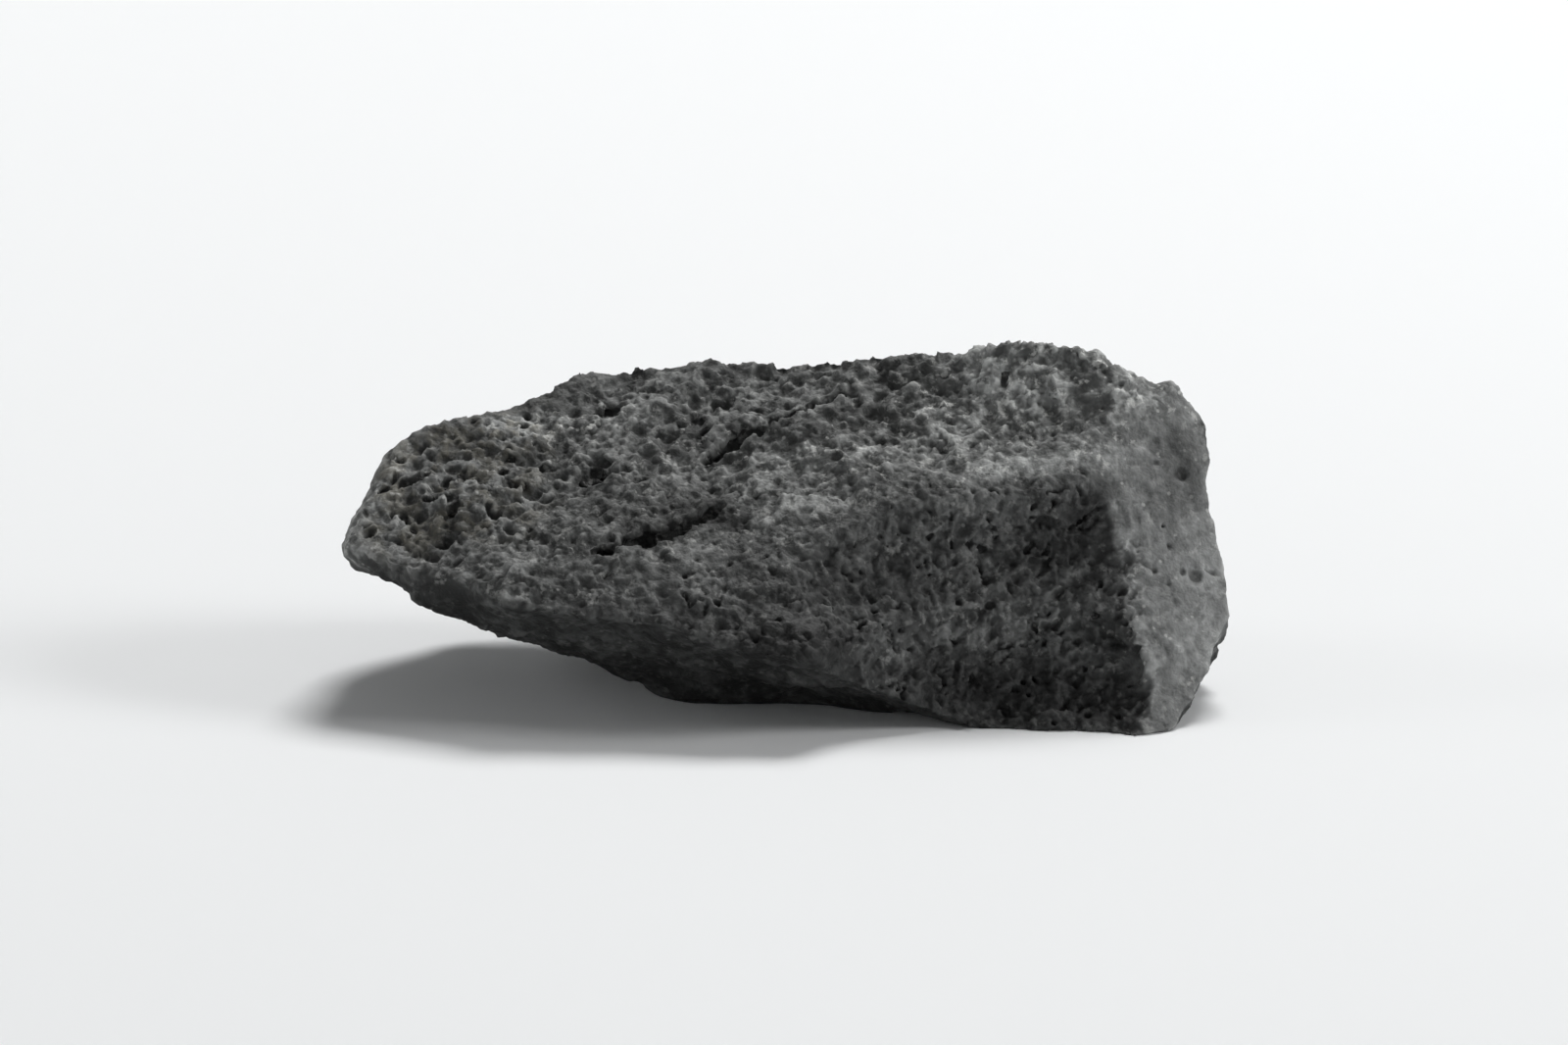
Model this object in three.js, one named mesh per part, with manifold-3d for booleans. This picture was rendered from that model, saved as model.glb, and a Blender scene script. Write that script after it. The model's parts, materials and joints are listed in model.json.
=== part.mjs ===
// Raw shungite chip: one crushed piece of black, carbon-rich rock.
// Millimetres, +Z up. The origin is the middle of the chip's box, at its base.
// +X runs from the thin tip to the blunt end, and +Y from the front rim to the back.
// The chip is a block that fracture faces, steps, conchoidal scars, cracks and pits are cut from.
import * as THREE from "three";
import { ImprovedNoise } from "three/addons/math/ImprovedNoise.js";
import { mergeVertices } from "three/addons/utils/BufferGeometryUtils.js";
import Module from "manifold-3d";

// Driving dimensions. Everything below is placed for a chip of this length, about its middle.
const LENGTH = 28; // the finished chip, from its tip to its blunt end
const BLOCK = [36, 20, 14]; // the rock that the chip breaks out of
const REST_HEIGHT = 0; // the level that the chip is worn flat to where it rests

// The cutter that stands for what was lost at one fracture face.
const CUTTER_REACH = 60;
const CUTTER_THICKNESS = 20;

const wasm = await Module();
wasm.setup();
const noise = new ImprovedNoise();

/** A closed three.js geometry as a manifold-3d solid. */
function solidOf(geometry) {
  geometry.deleteAttribute("normal");
  geometry.deleteAttribute("uv");
  const merged = mergeVertices(geometry, 1e-4);
  return new wasm.Manifold(
    new wasm.Mesh({
      numProp: 3,
      vertProperties: merged.attributes.position.array,
      triVerts: new Uint32Array(merged.index.array),
    }),
  );
}

/** Smooth noise between about -1 and 1, with lumps of the given size in millimetres. */
function lumps(point, size, seed) {
  return noise.noise(point.x / size + seed, point.y / size, point.z / size);
}

/** A rounded swelling: proud by height at its middle, and gone about two radii away. */
function swelling(p, x, y, radius, height) {
  return height * Math.exp(-((p.x - x) ** 2 + (p.y - y) ** 2) / radius ** 2);
}

// Surface characters: how far a surface stands proud of its plain form, in millimetres, at a point on it.
const weathered = (p) => 0.5 * lumps(p, 5.5, 3.1) + 0.3 * lumps(p, 2.2, 11.7) + 0.18 * lumps(p, 1.2, 5.3);
const hackly = (p) => 0.6 * lumps(p, 4.5, 7.9) + 0.3 * lumps(p, 1.8, 2.4);
const fresh = (p) => 0.35 * lumps(p, 7, 9.2) + 0.06 * lumps(p, 2.5, 1.8);
const rippled = (p) => 0.3 * lumps(p, 3.2, 4.6) + 0.12 * lumps(p, 1.4, 8.8);
const knobs = (p) => swelling(p, 8.2, 4.2, 2.6, 1.1) + swelling(p, 10.6, 3, 1.5, 0.5);
const crested = (p) => weathered(p) + knobs(p) + swelling(p, -2, 4.4, 4, -0.4);

// Fracture faces: outward normal, a point on the plane, surface character and mesh step.
const RIND = { normal: [-0.067, -0.438, 0.897], point: [0, 4, 9.3], relief: crested, step: 0.8 };
const BLUNT_END = { normal: [0.43, -0.725, 0.54], point: [10.9, -0.5, 6.7], relief: fresh, step: 1.2 };
const FACES = {
  rind: RIND,
  frontBand: { normal: [0.045, -0.685, 0.727], point: [6.3, -0.97, 7.35], relief: fresh, step: 1.2 },
  bluntEnd: BLUNT_END,
  endBack: { normal: [0.95, 0.3, 0], point: [14, -0.5, 4], relief: hackly, step: 1.1 },
  endUnderside: { normal: [0.88, -0.12, -0.46], point: [14.2, -1.6, 2.6], relief: hackly, step: 1.2 },
  crestEnd: { normal: [0.42, -0.2, 0.88], point: [12, 2.5, 9.3], relief: weathered, step: 0.9 },
  frontUndercut: { normal: [-0.2, -0.55, -0.81], point: [2, -6.4, 2.5], relief: hackly, step: 1.2 },
  tipUnderside: { normal: [-0.379, -0.08, -0.922], point: [-3.6, 0, 0], relief: hackly, step: 1.2 },
  tipTop: { normal: [-0.62, -0.1, 0.78], point: [-12.9, 1.5, 6.65], relief: weathered, step: 0.9 },
  tipEnd: { normal: [-0.9, 0.3, 0.3], point: [-13.6, 0.2, 5.2], relief: hackly, step: 0.9 },
  tipFront: { normal: [-0.5, -0.84, -0.1], point: [-10.8, -3.6, 4.3], relief: hackly, step: 0.9 },
  crestBack: { normal: [0.04, 0.55, 0.83], point: [0, 5.1, 9.45], relief: weathered, step: 0.9 },
  back: { normal: [0.05, 0.9, 0.42], point: [0, 6.9, 5.6], relief: hackly, step: 1.1 },
  backLeft: { normal: [-0.5, 0.76, 0.42], point: [-10.4, 4.6, 5.6], relief: fresh, step: 1.2 },
  backRight: { normal: [0.55, 0.78, 0.28], point: [10.6, 5.2, 5.2], relief: fresh, step: 1.2 },
  backUndercut: { normal: [0, 0.8, -0.6], point: [0, 7.2, 2.4], relief: hackly, step: 1.2 },
};

// Steps, where a fracture jumped from one level to another: all outside both the tread and the riser is lost.
const STEPS = {
  backLedge: {
    tread: { normal: [0.2, 0.25, 0.95], point: [6, 5.5, 6.4], relief: fresh, step: 1 },
    riser: { normal: [0.3, 0.9, 0.3], point: [6, 5.2, 7.2], relief: hackly, step: 1 },
  },
  footLedge: {
    tread: { normal: [0.3, 0.3, -0.9], point: [-4, 6, 3.3], relief: fresh, step: 1 },
    riser: { normal: [-0.2, 0.95, -0.15], point: [-4, 5.9, 2.2], relief: hackly, step: 1 },
  },
};

// Conchoidal scars: middle and radii of the flake that broke out, its turn about Z in degrees, its detail.
const SCARS = {
  underLip: { centre: [6.5, -6.05, 7.15], radii: [9.7, 4.65, 4.95], turn: 13, detail: 12 },
  frontCorner: { centre: [7.6, -9.25, 3.3], radii: [7.4, 6.65, 4.6], turn: 18, detail: 10 },
  backHollow: { centre: [1.5, 15.6, 4.6], radii: [10.5, 9.2, 7.4], turn: 8, detail: 11 },
  backLeftHollow: { centre: [-10.5, 12.6, 9.6], radii: [8, 8.4, 8.6], turn: 30, detail: 10 },
  underTip: { centre: [-9.2, -6.2, -4.6], radii: [6, 5, 6.6], turn: 20, detail: 7 },
  endHollow: { centre: [18.2, 5, 4.2], radii: [6, 5.4, 5.2], turn: 17, detail: 8 },
  crestNick: { centre: [3.2, 6.2, 11.4], radii: [1.8, 1.8, 1.8], turn: 0, detail: 3 },
  crestNotch: { centre: [-6.8, 5.9, 10.6], radii: [1.6, 1.5, 1.5], turn: 0, detail: 3 },
  rimNick: { centre: [-3.6, -8, 3.2], radii: [1.5, 1.6, 1.4], turn: 0, detail: 3 },
  rimChip: { centre: [-10.2, -5.7, 4.6], radii: [1.8, 1.5, 1.5], turn: 30, detail: 3 },
  cornerChip: { centre: [12.4, -6.4, 2.4], radii: [1.4, 1.6, 1.5], turn: 0, detail: 3 },
  backRimChip: { centre: [8.6, 9.5, 2.4], radii: [3.4, 2.7, 2.4], turn: -10, detail: 5 },
};

// Cracks in the rind: both ends in plan, half width and depth, each a row of short straight links.
const CRACKS = [
  { from: [-5.8, -3.6], to: [-1.8, -1.4], halfWidth: 0.34, depth: 0.6 },
  { from: [-2.3, 1.1], to: [2, 3.2], halfWidth: 0.34, depth: 0.6 },
];
const CRACK_LINKS = 4;
const LINK_OVERLAP = 0.8; // half a wedge's length, in links
const LINK_WANDER = 0.12; // radians to either side of the crack's heading

// Pits that stand out: the face, the middle in plan and the radius.
const PITS = [
  { face: RIND, at: [-5.9, 1.2], radius: 0.55 },
  { face: RIND, at: [-5.35, 3.6], radius: 0.4 },
  { face: RIND, at: [-1.8, 3.4], radius: 0.36 },
  { face: BLUNT_END, at: [12.6, 0.6], radius: 0.3 },
  { face: BLUNT_END, at: [13, -1.2], radius: 0.28 },
];

// Smaller pits, scattered: the face, the stretch in plan that they lie in, their radii and how many.
const PITTED = [
  { face: RIND, x: [-12.8, -7.6], y: [-2.2, 2.6], radius: [0.26, 0.42], count: 16 },
  { face: RIND, x: [-7, 9], y: [-2.2, 3.6], radius: [0.2, 0.34], count: 26 },
];
const PIT_SEED = 41;

/** The solid outside one fracture face, which the chip lost when it broke there. */
function lostBeyond({ normal, point, relief, step }) {
  const segments = Math.round(CUTTER_REACH / step);
  const slab = new THREE.BoxGeometry(CUTTER_REACH, CUTTER_REACH, CUTTER_THICKNESS, segments, segments, 1);
  slab.translate(0, 0, CUTTER_THICKNESS / 2);
  const outward = new THREE.Vector3(...normal).normalize();
  const turn = new THREE.Quaternion().setFromUnitVectors(new THREE.Vector3(0, 0, 1), outward);
  const placed = new THREE.Vector3(...point);
  const position = slab.attributes.position;
  const vertex = new THREE.Vector3();
  for (let i = 0; i < position.count; i++) {
    vertex.fromBufferAttribute(position, i);
    const onFace = vertex.z < CUTTER_THICKNESS / 2;
    vertex.applyQuaternion(turn).add(placed);
    if (onFace) vertex.addScaledVector(outward, relief(vertex));
    position.setXYZ(i, vertex.x, vertex.y, vertex.z);
  }
  return solidOf(slab);
}

/** The flake that one blow broke out of the chip. */
function flake({ centre, radii, turn, detail }) {
  const ball = new THREE.IcosahedronGeometry(1, detail);
  ball.scale(...radii);
  ball.rotateZ(THREE.MathUtils.degToRad(turn));
  ball.translate(...centre);
  const middle = new THREE.Vector3(...centre);
  const position = ball.attributes.position;
  const vertex = new THREE.Vector3();
  for (let i = 0; i < position.count; i++) {
    vertex.fromBufferAttribute(position, i);
    const outward = vertex.clone().sub(middle).normalize();
    vertex.addScaledVector(outward, rippled(vertex));
    position.setXYZ(i, vertex.x, vertex.y, vertex.z);
  }
  return solidOf(ball);
}

/** The point of a face's plane above or below (x, y). */
function onPlane({ normal, point }, x, y) {
  const [nx, ny, nz] = normal;
  const [px, py, pz] = point;
  return new THREE.Vector3(x, y, pz - (nx * (x - px) + ny * (y - py)) / nz);
}

/** A crack: a row of thin wedges, end over end, that wander a little from side to side. */
function crack({ from, to, halfWidth, depth }) {
  const start = onPlane(RIND, ...from);
  const end = onPlane(RIND, ...to);
  const link = start.distanceTo(end) / CRACK_LINKS;
  const heading = Math.atan2(to[1] - from[1], to[0] - from[0]);
  const wedges = [];
  for (let i = 0; i < CRACK_LINKS; i++) {
    const along = (i + 0.5) / CRACK_LINKS;
    const wedge = new THREE.OctahedronGeometry(1, 0);
    wedge.scale(link * LINK_OVERLAP, halfWidth * (1 - Math.abs(along - 0.5)), depth);
    wedge.rotateZ(heading + (i % 2 ? LINK_WANDER : -LINK_WANDER));
    const middle = start.clone().lerp(end, along);
    wedge.translate(middle.x, middle.y, middle.z);
    wedges.push(solidOf(wedge));
  }
  return wedges.reduce((joined, wedge) => joined.add(wedge));
}

/** The small pits of the pitted stretches, scattered the same way each time. */
function scatteredPits() {
  THREE.MathUtils.seededRandom(PIT_SEED);
  const between = ([low, high]) => low + (high - low) * THREE.MathUtils.seededRandom();
  const pits = [];
  for (const { face, x, y, radius, count } of PITTED) {
    for (let i = 0; i < count; i++) {
      pits.push({ face, at: [between(x), between(y)], radius: between(radius) });
    }
  }
  return pits;
}

/** What is missing from one pit: an angular grain, turned to suit its place. */
function grain({ face, at: [x, y], radius }) {
  const ball = new THREE.IcosahedronGeometry(radius, 0);
  ball.rotateX(7 * x);
  ball.rotateZ(5 * y);
  const middle = onPlane(face, x, y);
  ball.translate(middle.x, middle.y, middle.z + face.relief(middle));
  return solidOf(ball);
}

/** The chip as it broke, in its own working place. */
function brokenChip() {
  let chip = solidOf(new THREE.BoxGeometry(...BLOCK.map((side) => 2 * side)));
  for (const face of Object.values(FACES)) chip = chip.subtract(lostBeyond(face));
  for (const { tread, riser } of Object.values(STEPS)) {
    chip = chip.subtract(lostBeyond(tread).intersect(lostBeyond(riser)));
  }
  for (const scar of Object.values(SCARS)) chip = chip.subtract(flake(scar));
  for (const line of CRACKS) chip = chip.subtract(crack(line));
  for (const pit of [...PITS, ...scatteredPits()]) chip = chip.subtract(grain(pit));
  return chip.trimByPlane([0, 0, 1], REST_HEIGHT);
}

/** The finished chip: its exact length, and the middle of its base at the origin. */
function chipGeometry() {
  const made = brokenChip().getMesh();
  const geometry = new THREE.BufferGeometry();
  geometry.setAttribute("position", new THREE.BufferAttribute(made.vertProperties, made.numProp));
  geometry.setIndex(new THREE.BufferAttribute(made.triVerts, 1));
  geometry.computeBoundingBox();
  const { min, max } = geometry.boundingBox;
  geometry.translate(-(min.x + max.x) / 2, -(min.y + max.y) / 2, -min.z);
  const toLength = LENGTH / (max.x - min.x);
  geometry.scale(toLength, toLength, toLength);
  geometry.computeVertexNormals();
  return geometry;
}

const shungite = new THREE.MeshStandardMaterial({ color: 0x4a4b4a, roughness: 0.7, metalness: 0 });

const stone = new THREE.Mesh(chipGeometry(), shungite);
stone.name = "shungite_stone";

const part = new THREE.Group();
part.add(stone);
export default part;
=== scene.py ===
"""A raw shungite chip: one crushed piece of black, carbon-rich rock on a pale studio floor.

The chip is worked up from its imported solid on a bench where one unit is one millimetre, and goes
back to metres when its mesh is finished. Its faces are told apart by the planes and flakes that
bound it, and each kind of surface gets its own relief and finish.
"""

import json
import logging
import math
from dataclasses import dataclass, field
from enum import Enum
from typing import Callable, Sequence

import bpy
import numpy as np
from mathutils import Matrix, Vector, noise

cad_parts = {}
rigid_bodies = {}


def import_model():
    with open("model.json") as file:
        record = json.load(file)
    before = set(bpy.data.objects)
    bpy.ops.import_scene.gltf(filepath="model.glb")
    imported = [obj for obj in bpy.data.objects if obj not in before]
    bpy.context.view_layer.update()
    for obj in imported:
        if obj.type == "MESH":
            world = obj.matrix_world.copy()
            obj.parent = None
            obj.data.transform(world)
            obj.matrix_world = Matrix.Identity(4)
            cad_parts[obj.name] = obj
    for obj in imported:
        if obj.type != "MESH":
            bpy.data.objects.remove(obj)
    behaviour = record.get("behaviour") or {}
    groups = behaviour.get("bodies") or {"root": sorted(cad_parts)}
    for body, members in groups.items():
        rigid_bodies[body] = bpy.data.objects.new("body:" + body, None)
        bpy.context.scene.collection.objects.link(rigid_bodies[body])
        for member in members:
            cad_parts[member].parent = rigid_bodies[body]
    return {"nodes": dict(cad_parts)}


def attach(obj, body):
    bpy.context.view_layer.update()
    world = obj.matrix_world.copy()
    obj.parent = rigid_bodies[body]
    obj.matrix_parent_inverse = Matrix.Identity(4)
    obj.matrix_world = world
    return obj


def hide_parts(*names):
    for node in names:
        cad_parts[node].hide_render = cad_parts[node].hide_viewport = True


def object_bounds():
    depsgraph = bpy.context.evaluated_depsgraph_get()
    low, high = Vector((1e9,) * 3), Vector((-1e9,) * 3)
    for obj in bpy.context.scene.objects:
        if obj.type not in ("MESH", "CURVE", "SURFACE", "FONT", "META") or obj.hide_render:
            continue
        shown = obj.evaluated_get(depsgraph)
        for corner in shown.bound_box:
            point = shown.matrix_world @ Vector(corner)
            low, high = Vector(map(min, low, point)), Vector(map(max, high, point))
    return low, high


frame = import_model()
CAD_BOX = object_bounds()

LOG = logging.getLogger("shungite")
STONE_NODE = "shungite_stone"
STONE_PIECE = "raw_shungite_chip"
BENCH_SCALE = 1000.0  # bench units, which are millimetres, in a metre
MERGE_GAP = 0.002  # millimetres, below which two vertices are one
CUT_GAP = 1e-6  # millimetres, below which a vertex lies on a cut
SHORTEST_RUN = 1e-6  # millimetres, which keeps a run without length from dividing by zero
WEIGHT_STEPS = 100  # how finely a vertex group's weights are stepped
# The chip's faces are stated in the frame that it was cut in, whose origin and scale differ a little.
CUT_ORIGIN = (0.111, 0.695, 0.0)
CUT_SCALE = 0.998

Triple = tuple[float, float, float]
Pair = tuple[float, float]
Colour = tuple[float, float, float]
Value = float | Sequence[float] | bpy.types.NodeSocket


class Surface(Enum):
    """The kinds of surface that the chip shows, and the places for work on it.

    Each names a vertex group. Every face and scar is of one of the first five kinds.
    """

    WEATHERED = "weathered"
    AGED = "aged"
    SCARRED = "scarred"
    FRESH = "fresh"
    HACKLY = "hackly"
    PITTED = "pitted"
    SPOTTED = "spotted"
    ROLLED = "rolled"
    ARRIS = "arris"
    SCORED = "scored"
    RIBBED = "ribbed"


class Grain(Enum):
    """The textures that relief is pressed with."""

    SWELLS = "smooth swells"
    LUMPS = "round lumps with creases between them"
    BITES = "round hollows with crests between them"
    TERRACES = "flat terraces with low steps between them"
    COBBLES = "domes about scattered points"
    PLATES = "angular plates with creases between them"
    PITS = "hollows at scattered points"


def smooth_step(low: float, high: float, values: np.ndarray) -> np.ndarray:
    """Rise smoothly from 0 at low to 1 at high, or fall where low is above high.

    Args:
        low: The value where the step starts.
        high: The value where the step ends.
        values: What to look up.

    Returns:
        The step's height at each value.
    """
    share = np.clip((values - low) / (high - low), 0.0, 1.0)
    return share * share * (3.0 - 2.0 * share)


def unit(vector: Sequence[float]) -> np.ndarray:
    """Return the vector at length 1."""
    array = np.asarray(vector, float)
    return array / np.linalg.norm(array)


def read_vectors(items: bpy.types.bpy_prop_collection, name: str) -> np.ndarray:
    """Read one vector of each item.

    Args:
        items: The vertices, or their normals.
        name: The vector's property.

    Returns:
        One vector in each row.
    """
    flat = np.empty(len(items) * 3)
    items.foreach_get(name, flat)
    return flat.reshape(-1, 3)


def along_and_away(
    places: np.ndarray, start: np.ndarray, end: np.ndarray
) -> tuple[np.ndarray, np.ndarray]:
    """Say where places lie beside a straight run.

    Args:
        places: One place in each row.
        start: Where the run starts.
        end: Where it ends, which may be its start.

    Returns:
        How far along the run each place lies, from 0 to 1, and how far away from it.
    """
    offset = places - start
    run = end - start
    length = max(np.linalg.norm(run), SHORTEST_RUN)
    along = np.clip(offset @ run / length**2, 0.0, 1.0)
    return along, np.linalg.norm(offset - along[:, None] * run, axis=1)


def pick_only(piece: bpy.types.Object) -> None:
    """Deselect everything, then select one object and make it active.

    Args:
        piece: The object.
    """
    bpy.ops.object.select_all(action="DESELECT")
    piece.select_set(True)
    bpy.context.view_layer.objects.active = piece


def in_edit_mode(piece: bpy.types.Object, work: Callable[[], None]) -> None:
    """Run mesh operators on the whole of one piece in edit mode.

    Args:
        piece: The object to work on.
        work: Calls the operators.
    """
    pick_only(piece)
    bpy.ops.object.mode_set(mode="EDIT")
    bpy.ops.mesh.select_all(action="SELECT")
    work()
    bpy.ops.object.mode_set(mode="OBJECT")


def apply_modifier(piece: bpy.types.Object, kind: str, **settings: object) -> None:
    """Add a modifier with its settings and apply it at once.

    Args:
        piece: The object to change.
        kind: The modifier's type.
        settings: The modifier's own properties.
    """
    pick_only(piece)
    modifier = piece.modifiers.new(kind.title(), kind)
    for name, value in settings.items():
        setattr(modifier, name, value)
    bpy.ops.object.modifier_apply(modifier=modifier.name)


class Skin:
    """The vertices of a piece as arrays, for weights that go by place, normal and neighbours."""

    def __init__(self, piece: bpy.types.Object) -> None:
        """Read the piece's vertices, normals and edges.

        Args:
            piece: The mesh object to read, at bench scale.
        """
        self.piece = piece
        mesh = piece.data
        self.count = len(mesh.vertices)
        self.places = read_vectors(mesh.vertices, "co")
        self.normals = read_vectors(mesh.vertex_normals, "vector")
        self.cut_places = self.places / CUT_SCALE + np.array(CUT_ORIGIN)
        edges = np.empty(len(mesh.edges) * 2, np.int32)
        mesh.edges.foreach_get("vertices", edges)
        self.starts, self.ends = edges.reshape(-1, 2).T
        self.valence = np.bincount(edges, minlength=self.count).clip(1)

    def averaged(self, values: np.ndarray, rounds: int) -> np.ndarray:
        """Average each vertex's value with its neighbours'.

        Args:
            values: One number for each vertex.
            rounds: How many times to average.

        Returns:
            The values, spread out.
        """
        for _ in range(rounds):
            summed = np.bincount(self.starts, values[self.ends], self.count)
            summed += np.bincount(self.ends, values[self.starts], self.count)
            values = 0.5 * (values + summed / self.valence)
        return values

    def hollowness(self, rounds: int) -> np.ndarray:
        """Say how far each vertex lies below the surface averaged round it.

        Args:
            rounds: How far round, in rounds of averaging.

        Returns:
            The depth in millimetres, which is negative on a ridge.
        """
        smooth = np.stack([self.averaged(column, rounds) for column in self.places.T], axis=1)
        return np.einsum("ij,ij->i", smooth - self.places, self.normals)

    def wander(self, size: float, seed: float, among: np.ndarray) -> np.ndarray:
        """Give smooth noise between about -1 and 1 at some vertices.

        Args:
            size: How far apart its lumps lie, in millimetres.
            seed: Picks another stretch of the noise.
            among: The indices of the vertices.

        Returns:
            One number for each of those vertices.
        """
        shift = Vector((seed, -seed, 2.0 * seed))
        return np.array([noise.noise(Vector(place) / size + shift) for place in self.places[among]])

    def group(self, surface: Surface, weights: np.ndarray) -> None:
        """Keep weights as a vertex group.

        Args:
            surface: Names the group.
            weights: One weight for each vertex, from 0 to 1.
        """
        old = self.piece.vertex_groups.get(surface.value)
        if old:
            self.piece.vertex_groups.remove(old)
        made = self.piece.vertex_groups.new(name=surface.value)
        steps = np.round(np.clip(weights, 0.0, 1.0) * WEIGHT_STEPS).astype(int)
        for step in np.unique(steps[steps > 0]):
            made.add(np.flatnonzero(steps == step).tolist(), step / WEIGHT_STEPS, "REPLACE")

    def attribute(self, name: str, values: np.ndarray) -> None:
        """Keep one number for each vertex as an attribute that a material can read."""
        made = self.piece.data.attributes.new(name, "FLOAT", "POINT")
        made.data.foreach_set("value", values.astype(np.float32))


@dataclass(frozen=True)
class Zone:
    """A face or a scar, one of those that bound the chip.

    Attributes:
        kind: Its kind of surface.
        tone: What the finish's colour is multiplied by on it, so that above 1 is paler. Besides
            weathering, it paints light and shade: faces are paler where light falls on them, and
            undersides and scars are darker in painted shade.
    """

    kind: Surface
    tone: float

    def proud(self, skin: Skin) -> np.ndarray:
        """Say how far each vertex stands outside the rock that the zone leaves."""
        raise NotImplementedError


@dataclass(frozen=True)
class Face(Zone):
    """A flat face of the chip.

    Attributes:
        normal: Which way it faces.
        point: A point on it, in the frame that the chip was cut in.
    """

    normal: Triple
    point: Triple

    def proud(self, skin: Skin) -> np.ndarray:
        """Say how far each vertex stands proud of the face, which is about 0 on it."""
        return (skin.cut_places - np.array(self.point)) @ unit(self.normal)


@dataclass(frozen=True)
class Scar(Zone):
    """A hollow where a flake broke out.

    Attributes:
        centre: The middle of the flake's ellipsoid, in the frame that the chip was cut in.
        radii: The ellipsoid's radii, in millimetres.
        turn: Its turn about Z, in degrees.
        blow: Where the blow landed that broke it out, if ribs run round that point.
    """

    centre: Triple
    radii: Triple
    turn: float
    blow: Triple | None = None

    def proud(self, skin: Skin) -> np.ndarray:
        """Say how far each vertex stands into the hollow, which is about 0 on its wall.

        Args:
            skin: The chip's vertices.

        Returns:
            One distance for each vertex, in millimetres.
        """
        turned = np.array(Matrix.Rotation(math.radians(self.turn), 3, "Z"))
        local = (skin.cut_places - np.array(self.centre)) @ turned
        reach = np.linalg.norm(local / np.array(self.radii), axis=1)
        return (1.0 - reach) * np.linalg.norm(local, axis=1) / reach.clip(0.01)


@dataclass(frozen=True)
class Score:
    """A crack or a pit with a place of its own.

    Attributes:
        start: One end, as X and Y in the frame that the chip was cut in.
        end: The other end, which a round pit shares with its start.
        half_width: Half its width, in millimetres.
        depth: How much of the full scoring depth it has, from 0 to 1.
    """

    start: Pair
    end: Pair
    half_width: float
    depth: float

    def weight(self, skin: Skin, uneven: np.ndarray) -> np.ndarray:
        """Say how deep each vertex is scored, from 0 to 1.

        Args:
            skin: The chip's vertices.
            uneven: Noise that makes the outline wander.

        Returns:
            One weight for each vertex.
        """
        start, end = np.array(self.start), np.array(self.end)
        along, away = along_and_away(skin.cut_places[:, :2], start, end)
        is_round = self.start == self.end
        taper = 1.0 if is_round else 0.35 + 0.65 * np.sin(np.pi * along) ** 0.5
        width = self.half_width * taper * (1.0 + 0.7 * uneven)
        depth = self.depth * np.clip(0.85 + 0.6 * uneven, 0.4, 1.1)
        return depth * smooth_step(1.4, 0.2, away / width)


@dataclass(frozen=True)
class LightAndShadePatch:
    """A stretch where a painted highlight or painted shade makes the colour paler or darker.

    Attributes:
        tone: What the finish's colour is multiplied by in its middle, which paints light or shade there.
        half_width: How far it reaches to either side, in millimetres.
        route: The points that it follows, in the frame that the chip was cut in.
        worn: How far its arris is worn round and smooth, from 0 to 1.
    """

    tone: float
    half_width: float
    route: tuple[Triple, ...]
    worn: float = 0.0

    def share(self, skin: Skin) -> np.ndarray:
        """Say how surely each vertex lies in the patch, from 0 to 1.

        Args:
            skin: The chip's vertices.

        Returns:
            One share for each vertex.
        """
        nearest = np.full(skin.count, np.inf)
        points = [np.array(point, float) for point in self.route]
        for start, end in zip(points, points[1:]):
            _, away = along_and_away(skin.cut_places, start, end)
            nearest = np.minimum(nearest, away)
        return smooth_step(1.0, 0.1, nearest / self.half_width)


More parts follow.
